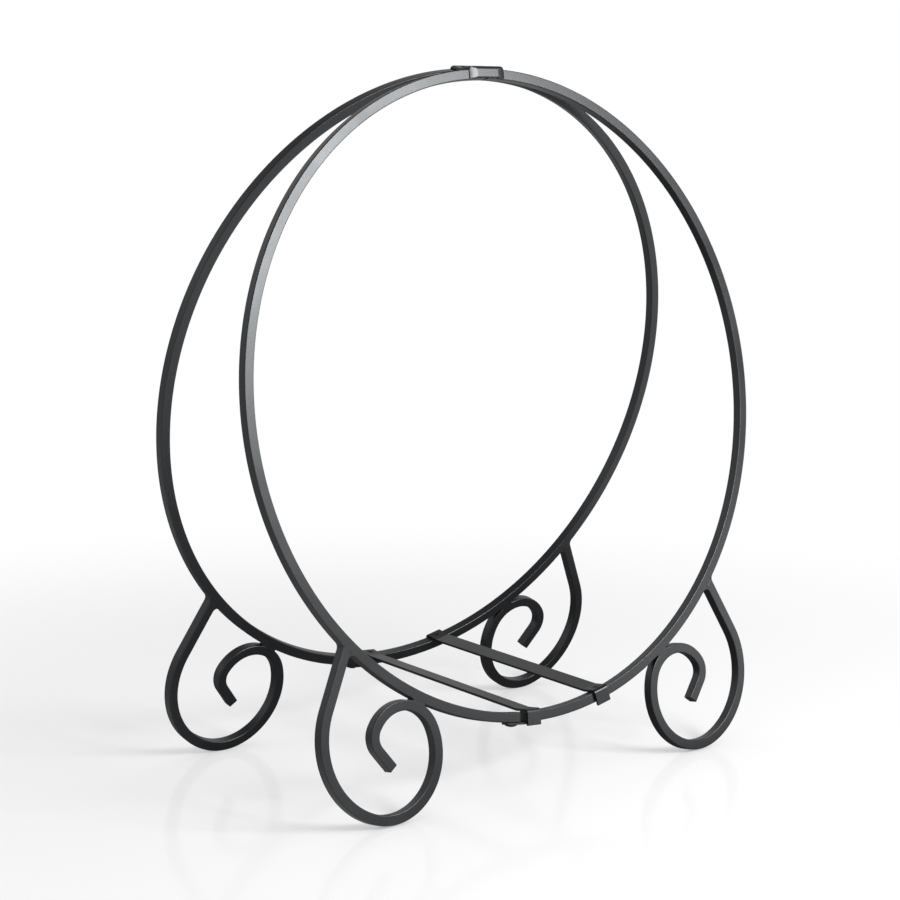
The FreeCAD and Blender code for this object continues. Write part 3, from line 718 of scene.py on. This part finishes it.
class LOGHOOP_OT_welds(bpy.types.Operator):
    """Lay the rippled weld beads beside the legs and between the curls and the hoops"""

    bl_idname = "log_hoop.welds"
    bl_label = "Welds"

    rows = 33
    ripples = 7
    ripple_share = 0.05
    end_share = 0.12
    end_power = 16
    mouth_share = 0.93
    past_edge = 0.3 * MM
    end_edge = 0.2 * MM
    end_angle = math.radians(40)

    def execute(self, context):
        rack = Rack()
        # The metal runs deeper into the bars than their rounded edges, so that no groove is left beside it.
        self.bite = rack.sizes.bar_edge + self.past_edge
        self.flush = rack.half - rack.scroll.sizes.weld_inset
        for corner, depth, side in CORNERS:
            place = rack.foot(depth, side)
            beads = [self.leg_bead(rack, face) for face in (-1, 1)] + [self.root_bead(rack)]
            self.lay(f"{corner}_leg_beads", f"{corner}_leg_welds", place, beads)
            self.lay(f"{corner}_curl_bead", f"{corner}_curl_weld", place, [self.curl_bead(rack)])
        return {"FINISHED"}

    def lay(self, name, node, place, beads):
        """Beads, each a row of outlines in a foot's own frame, as one piece."""
        meshes = (skin("bead", [[place @ point for point in outline] for outline in outlines])
                  for outlines in beads)
        piece = new_object(name, join(name, meshes, coat_material("weld")))
        soften(piece, self.end_edge, self.end_angle)
        finish_piece(piece, "weld_coat", node)

    def stations(self):
        """Along the bead's length: how far from the bar's middle, and how full the bead is there."""
        for way in spread(-1, 1, self.rows - 1):
            end = math.sqrt(max(0.0, 1 - abs(way) ** self.end_power))
            wave = math.cos(math.pi * self.ripples * way)
            fullness = (1 - self.end_share * (1 - end)) * (1 - self.ripple_share * (1 - wave) / 2)
            yield self.flush * way, fullness

    @staticmethod
    def on_line(scroll, across, radius):
        """The point that far to one side of the leg's middle line and that far from the hoop's centre."""
        base = scroll.weld_point + scroll.across * across
        return base + scroll.along * to_circle(base, scroll.along, radius)

    def leg_bead(self, rack, face):
        """Hollow fillet between the hoop and one face of the leg."""
        scroll = rack.scroll
        hollow = scroll.sizes.weld_radius
        root = self.on_line(scroll, face * (rack.half - self.bite), rack.radius - self.bite)
        centre = self.on_line(scroll, face * (rack.half + hollow), rack.radius + hollow)
        to_leg = scroll.across * -face
        to_rim = -centre.normalized()
        steps = 12
        sweep = [to_leg.lerp(to_rim, step / steps).normalized() for step in range(steps + 1)]
        buried = [centre + ray * (hollow + self.bite) for ray in (to_leg, to_rim)]
        outline = [root, buried[0]] + [centre + ray * hollow for ray in sweep] + [buried[1]]
        return [[root + (point - root) * fullness + Vector((0, y, 0)) for point in outline]
                for y, fullness in self.stations()]

    def root_bead(self, rack):
        """Weld metal that fills the gap between the hoop and the coped end of the leg."""
        scroll = rack.scroll
        steps = 6
        spans = spread(-rack.half, rack.half, steps)
        leg_end = rack.radius + scroll.sizes.weld_gap + 2 * rack.sizes.cut_edge
        outline = [self.on_line(scroll, span, rack.radius - self.bite) for span in spans]
        outline += [self.on_line(scroll, span, leg_end) for span in spans[::-1]]
        return [[point + Vector((0, y, 0)) for point in outline] for y in (-self.flush, self.flush)]

    def curl_bead(self, rack):
        """Weld metal in the narrowing gap between the hoop and the top of the curl."""
        scroll = rack.scroll
        centre, radius = scroll.bends[scroll.curl][:2]
        outward = centre.normalized()
        sideways = Vector((-outward.z, 0, outward.x))
        rim = rack.radius - self.bite
        crown = radius + rack.half - self.bite

        def on_rim(offset):
            return outward * math.sqrt(rim ** 2 - offset ** 2) + sideways * offset

        def on_crown(offset):
            return centre - outward * math.sqrt(crown ** 2 - offset ** 2) + sideways * offset

        def mouth(offset):
            return on_rim(offset).lerp(on_crown(offset), 0.5)

        steps = 12
        outlines = []
        for y, fullness in self.stations():
            reach = scroll.sizes.weld_reach * fullness
            offsets = spread(-reach, reach, steps)
            hollow = self.mouth_share * reach
            outline = [on_rim(offset) for offset in offsets] + [mouth(hollow)]
            outline += [on_crown(offset) for offset in offsets[::-1]] + [mouth(-hollow)]
            outlines.append([point + Vector((0, y, 0)) for point in outline])
        return outlines


class LOGHOOP_OT_plates(bpy.types.Operator):
    """Finish the pressed saddle, the tie straps and the splice plates with softened, coated edges"""

    bl_idname = "log_hoop.plates"
    bl_label = "Saddle, straps and splice plates"

    nodes = ("top_saddle", "tie_strap", "right_tie_strap", "front_splice_plate", "rear_splice_plate")
    edge_angle = math.radians(35)
    saddle_grain = 1.5 * MM
    same_point = 0.002 * MM
    same_plane = math.radians(0.5)

    def execute(self, context):
        for node in self.nodes:
            mesh = self.merged_copy(node)
            mesh.materials.append(coat_material("plate"))
            piece = new_object(mesh.name, mesh)
            grain = self.saddle_grain if node == "top_saddle" else None
            soften(piece, settings().hoop.plate_edge, self.edge_angle, grain)
            finish_piece(piece, "plate_coat", node)
        return {"FINISHED"}

    def merged_copy(self, node):
        """The CAD node's shape as one joined mesh with whole flat faces."""
        shape = bmesh.new()
        shape.from_mesh(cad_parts[node].data)
        bmesh.ops.remove_doubles(shape, verts=shape.verts, dist=self.same_point)
        bmesh.ops.dissolve_limit(shape, angle_limit=self.same_plane, use_dissolve_boundaries=False,
                                 verts=shape.verts, edges=shape.edges, delimit=set())
        return mesh_of(f"{node}_coated", shape, smooth=True)


ROUND_STEPS = 48
TURNED_ANGLE = math.radians(32)
THREAD_ROWS = 6
LIP_DEPTH = 0.2 * MM
DRILL_POINT = 0.4 * MM
# Shares of the pitch and of the thread's depth.
THREAD_DEPTH = 0.61
TIP_DEPTH = 1.3
# Shares of the socket's size across flats.
LIP_SIZE = 1.1
LIP_REACH = 0.6
DOME_END = 0.75


def ring(radius, height):
    """A level circle; the radius is a number or a function of the angle."""
    points = []
    for step in range(ROUND_STEPS):
        turn = 2 * math.pi * step / ROUND_STEPS
        reach = radius(turn) if callable(radius) else radius
        points.append(Vector((reach * math.cos(turn), reach * math.sin(turn), height)))
    return points


def hexagon(across):
    """Radius of a hexagon of that size across its flats, by angle."""
    sector = math.pi / 3
    return lambda turn: across / 2 / math.cos(turn % sector - sector / 2)


def thread_rings(radius, pitch, bottom, top):
    """Rings of a screw thread, from its pointed end up to its run-out."""
    depth = THREAD_DEPTH * pitch
    rows = round((top - bottom) / pitch * THREAD_ROWS)
    rings = [ring(radius - TIP_DEPTH * depth, bottom)]
    for row, height in enumerate(spread(bottom, top, rows)[1:], start=1):
        taper = min(1.0, row / THREAD_ROWS) * depth

        def flank(turn):
            phase = (height / pitch - turn / (2 * math.pi)) % 1.0
            return radius - depth + taper * (1 - abs(2 * phase - 1))

        rings.append(ring(flank, height))
    return rings


def socket_rings(sizes, level):
    """Rings of a hexagon socket, sunk from a surface whose height at a radius is level(radius)."""
    lip = hexagon(sizes.socket * LIP_SIZE)
    wall = hexagon(sizes.socket)
    surface = level(sizes.socket * LIP_REACH)
    deep = level(0.0) - sizes.socket_depth
    return [ring(lip, surface), ring(wall, surface - LIP_DEPTH), ring(wall, deep)]


def turned_mesh(name, rings, bottom, top):
    """A closed round mesh through rings, with a point on its axis at each end."""
    shape = bmesh.new()
    rows = bridge(shape, rings)
    for row, height in ((rows[0], bottom), (rows[-1], top)):
        centre = shape.verts.new((0, 0, height))
        for i in range(ROUND_STEPS):
            shape.faces.new((row[i], row[(i + 1) % ROUND_STEPS], centre))
    bmesh.ops.recalc_face_normals(shape, faces=shape.faces)
    mesh = mesh_of(name, shape, smooth=True)
    mesh.set_sharp_from_angle(angle=TURNED_ANGLE)
    return mesh


def countersunk_screw(sizes, total):
    """A countersunk screw that points down, with the top of its head at height 0."""
    shank = sizes.screw_diameter / 2
    head = sizes.screw_head / 2
    rim = 0.2 * MM
    neck = shank - head
    rings = thread_rings(shank, sizes.screw_pitch, -total, neck - rim)
    rings += [ring(shank, neck), ring(head - rim, -rim), ring(head, -rim / 2), ring(head - rim, 0)]
    rings += socket_rings(sizes, lambda radius: 0.0)
    return turned_mesh("countersunk_screw", rings, -total, -sizes.socket_depth - DRILL_POINT)


def mushroom_bolt(sizes, total):
    """A bolt that points down, with a domed head that stands on height 0."""
    shank = sizes.bolt_diameter / 2
    head = sizes.bolt_head / 2
    top, lip = sizes.bolt_head_height, sizes.bolt_lip
    rise = top - lip
    dome = (head ** 2 + rise ** 2) / (2 * rise)
    rim = 0.25 * MM

    def level(radius):
        return top - dome + math.sqrt(dome ** 2 - radius ** 2)

    rings = thread_rings(shank, sizes.bolt_pitch, -total, -rim)
    rings += [ring(shank, 0), ring(head - rim, 0), ring(head, rim), ring(head, lip)]
    domes = 7
    rings += [ring(radius, level(radius)) for radius in spread(head, sizes.socket * DOME_END, domes)[1:]]
    rings += socket_rings(sizes, level)
    return turned_mesh("mushroom_bolt", rings, -total, top - sizes.socket_depth - DRILL_POINT)


class LOGHOOP_OT_fasteners(bpy.types.Operator):
    """Set the screws of the saddle and the straps and the bolts of the splices"""

    bl_idname = "log_hoop.fasteners"
    bl_label = "Screws and bolts"

    def execute(self, context):
        rack = Rack()
        sizes = rack.fasteners
        saddle = [rack.saddle_screw_place(depth, side) for corner, depth, side in CORNERS]
        splice = [rack.bolt_place(depth) for depth in HOOPS.values()]
        straps = []
        for turn, total in rack.straps:
            places = [rack.strap_screw_place(depth, turn) for depth in HOOPS.values()]
            straps.append((countersunk_screw(sizes, total), places))
        self.fit("saddle_screws", [(countersunk_screw(sizes, rack.saddle_screw), saddle)])
        self.fit("strap_screws", straps)
        self.fit("splice_bolts", [(mushroom_bolt(sizes, rack.bolt_length), splice)])
        return {"FINISHED"}

    def fit(self, node, kinds):
        """All the fasteners of a node as one piece; each kind is a pattern and the places where it goes."""
        meshes = (self.copies(pattern, places).data for pattern, places in kinds)
        mesh = join(f"{node}_threaded", meshes, oxide_material())
        finish_piece(new_object(mesh.name, mesh), "fastener_black", node)

    @staticmethod
    def copies(pattern, places):
        """The pattern mesh at each of the places, as one plain object."""
        sample = new_object(pattern.name, pattern)
        points = bpy.data.meshes.new("fastener_places")
        points.from_pydata([place.translation for place in places], [], [])
        turns = points.attributes.new("turn", "QUATERNION", "POINT")
        for item, place in zip(turns.data, places):
            item.value = place.to_quaternion()
        piece = new_object("fastener_copies", points)
        add_tree(piece, fasteners_on_points_tree(), {"Fastener": sample, "Material": oxide_material()})
        make_plain(piece)
        bpy.data.meshes.remove(pattern)
        return piece


class LOGHOOP_OT_stage(bpy.types.Operator):
    """Lay a pale floor under the rack, light it softly and set the camera"""

    bl_idname = "log_hoop.stage"
    bl_label = "Stage"

    camera_place = Vector((-1.6878, -2.0249, 0.8347))
    camera_azimuth = math.radians(-39.333)
    camera_elevation = math.radians(9.937)
    camera_roll = math.radians(1.186)
    camera_lens = 89.13
    camera_sensor = 36.0
    floor_reach = 12.0
    away_from_key = (-0.64, 0.77, 0.0)
    plain_light = 0.66
    white = (1.0, 1.0, 1.0, 1.0)
    mirrored_room = (
        # axis, reach along it, light that is mirrored from there
        ("Y", (-0.3, 0.4), (0.8, 1.0)),
        ("Z", (0.0, 0.4), (0.36, 0.62)),
        ("Z", (0.45, 0.85), (1.0, 0.2)),
    )
    lamps = (
        # name, azimuth, elevation, distance, width, height, watts
        ("key_softbox", 23, 23.7, 2.6, 1.4, 0.82, 67.0),
        ("low_card", 45, -3, 2.9, 0.7, 0.35, 2.4),
    )
    target = Vector((0.0, 0.0, 0.45))

    def execute(self, context):
        scene = context.scene
        scene.view_settings.view_transform = "Standard"
        self.lay_floor()
        self.light_world(scene)
        for lamp in self.lamps:
            self.hang(*lamp)
        self.set_camera(scene)
        return {"FINISHED"}

    @staticmethod
    def outward(azimuth, elevation):
        """From the rack towards a viewer at that azimuth and elevation."""
        flat = math.cos(elevation)
        return Vector((math.sin(azimuth) * flat, -math.cos(azimuth) * flat, math.sin(elevation)))

    def lay_floor(self):
        reach = self.floor_reach
        mesh = bpy.data.meshes.new("floor")
        corners = [(x * reach, y * reach, 0) for x, y in ((-1, -1), (1, -1), (1, 1), (-1, 1))]
        mesh.from_pydata(corners, [], [(0, 1, 2, 3)])
        mesh.materials.append(self.floor_material())
        new_object("floor", mesh)

    def floor_material(self):
        """Pale gloss floor that fades into the white of the backdrop.

        The rack mirrors it dimmer: a painted shade away from the key lamp, and a painted shadow in an oval
        under and behind the rack.
        """
        material, tree, place = new_material("pale_floor")
        away = put(tree, "ShaderNodeVectorMath", {"Vector": place}, operation="LENGTH")
        fade = remap(tree, away.outputs["Value"], of=(0.45, 1.4), to=(0.35, 1.0), kind="SMOOTHSTEP")
        lacquer = put(tree, "ShaderNodeBsdfPrincipled", {
            "Base Color": (*settings().finish.floor, 1.0), "Roughness": 0.12, "Specular IOR Level": 0.2})
        glow = put(tree, "ShaderNodeEmission", {"Color": self.white, "Strength": 1.0})
        seen = put(tree, "ShaderNodeMixShader", {"Fac": fade})
        tree.links.new(lacquer.outputs[0], seen.inputs[1])
        tree.links.new(glow.outputs[0], seen.inputs[2])
        from_key = put(tree, "ShaderNodeVectorMath", {"Vector": place}, operation="DOT_PRODUCT")
        from_key.inputs[1].default_value = self.away_from_key
        # Painted shade: the floor is mirrored darker the further it lies away from the key lamp.
        painted_shade = remap(tree, from_key.outputs["Value"], of=(-0.4, 0.5), to=(0.25, 0.65))
        # Painted shadow: an oval under and behind the rack, which the rack mirrors darker.
        oval = put(tree, "ShaderNodeMapping", {
            "Vector": place, "Location": (0.12, 0.2, 0.0), "Rotation": (0.0, 0.0, math.radians(17)),
            "Scale": (0.5, 0.95, 1.0)}, vector_type="TEXTURE")
        from_oval = put(tree, "ShaderNodeVectorMath", {"Vector": oval.outputs[0]}, operation="LENGTH")
        under = remap(tree, from_oval.outputs["Value"], of=(0.7, 1.2), to=(0.9, 0.0), kind="SMOOTHSTEP")
        glossy = put(tree, "ShaderNodeLightPath").outputs["Is Glossy Ray"]
        painted_dimming = calculate(tree, "MULTIPLY", glossy, calculate(tree, "MAXIMUM", painted_shade, under))
        mirrored = put(tree, "ShaderNodeMixShader", {"Fac": painted_dimming})
        tree.links.new(seen.outputs[0], mirrored.inputs[1])
        put(tree, "ShaderNodeOutputMaterial", {"Surface": mirrored.outputs[0]})
        return material

    def light_world(self, scene):
        """White backdrop where it is seen; mirrored, the room is dimmer in front, low down and overhead."""
        world = bpy.data.worlds.new("studio")
        scene.world = world
        tree = empty_tree(world)
        rays = put(tree, "ShaderNodeLightPath").outputs
        place = put(tree, "ShaderNodeTexCoord").outputs["Generated"]
        way = put(tree, "ShaderNodeSeparateXYZ", {"Vector": place}).outputs
        mirrored = 1.0
        for axis, reach, light in self.mirrored_room:
            band = remap(tree, way[axis], of=reach, to=light, kind="SMOOTHSTEP")
            mirrored = calculate(tree, "MULTIPLY", mirrored, band)
        unseen = put(tree, "ShaderNodeMix", {
            "Factor": rays["Is Glossy Ray"], "A": self.plain_light, "B": mirrored}, data_type="FLOAT")
        seen = calculate(tree, "MAXIMUM", rays["Is Camera Ray"], rays["Is Transmission Ray"])
        strength = put(tree, "ShaderNodeMix", {
            "Factor": seen, "A": unseen.outputs[0], "B": 1.0}, data_type="FLOAT")
        backdrop = put(tree, "ShaderNodeBackground", {"Color": self.white, "Strength": strength.outputs[0]})
        put(tree, "ShaderNodeOutputWorld", {"Surface": backdrop.outputs[0]})

    def hang(self, name, azimuth, elevation, distance, width, height, watts):
        """A soft lamp that faces the target and is not seen itself."""
        data = bpy.data.lights.new(name, "AREA")
        data.shape = "RECTANGLE"
        data.size = width
        data.size_y = height
        data.energy = watts
        lamp = new_object(name, data)
        out = self.outward(math.radians(azimuth), math.radians(elevation))
        lamp.location = self.target + out * distance
        lamp.visible_camera = False
        lamp.rotation_mode = "QUATERNION"
        lamp.rotation_quaternion = out.to_track_quat("Z", "Y")

    def set_camera(self, scene):
        data = bpy.data.cameras.new("camera")
        data.lens = self.camera_lens
        data.sensor_width = self.camera_sensor
        camera = new_object("camera", data)
        back = self.outward(self.camera_azimuth, self.camera_elevation)
        right = Vector((math.cos(self.camera_azimuth), math.sin(self.camera_azimuth), 0))
        up = back.cross(right)
        turn = Matrix((right, up, back)).transposed() @ Matrix.Rotation(self.camera_roll, 3, "Z")
        camera.rotation_mode = "QUATERNION"
        camera.rotation_quaternion = turn.to_quaternion()
        camera.location = self.camera_place
        scene.camera = camera


OPERATORS = (LOGHOOP_OT_half_hoops, LOGHOOP_OT_scroll_feet, LOGHOOP_OT_welds, LOGHOOP_OT_plates,
             LOGHOOP_OT_fasteners, LOGHOOP_OT_stage)


class LOGHOOP_PT_sidebar(bpy.types.Panel):
    """The log hoop's pieces and settings"""

    bl_idname = "LOGHOOP_PT_sidebar"
    bl_label = "Log hoop"
    bl_space_type = "VIEW_3D"
    bl_region_type = "UI"
    bl_category = "Log hoop"

    def draw(self, context):
        for operator in OPERATORS:
            self.layout.operator(operator.bl_idname)
        chosen = context.scene.log_hoop
        for group in (chosen.hoop, chosen.scroll, chosen.fasteners, chosen.finish):
            box = self.layout.box()
            for name in group.__annotations__:
                box.prop(group, name)


CLASSES = (HoopSizes, ScrollSizes, FastenerSizes, Finish, LogHoopSettings, *OPERATORS, LOGHOOP_PT_sidebar)


def register():
    for item in CLASSES:
        bpy.utils.register_class(item)
    bpy.types.Scene.log_hoop = PointerProperty(type=LogHoopSettings)


def unregister():
    del bpy.types.Scene.log_hoop
    for item in reversed(CLASSES):
        bpy.utils.unregister_class(item)


def main():
    register()
    bpy.ops.log_hoop.half_hoops()
    bpy.ops.log_hoop.scroll_feet()
    bpy.ops.log_hoop.welds()
    bpy.ops.log_hoop.plates()
    bpy.ops.log_hoop.fasteners()
    bpy.ops.log_hoop.stage()


if __name__ == "__main__":
    main()
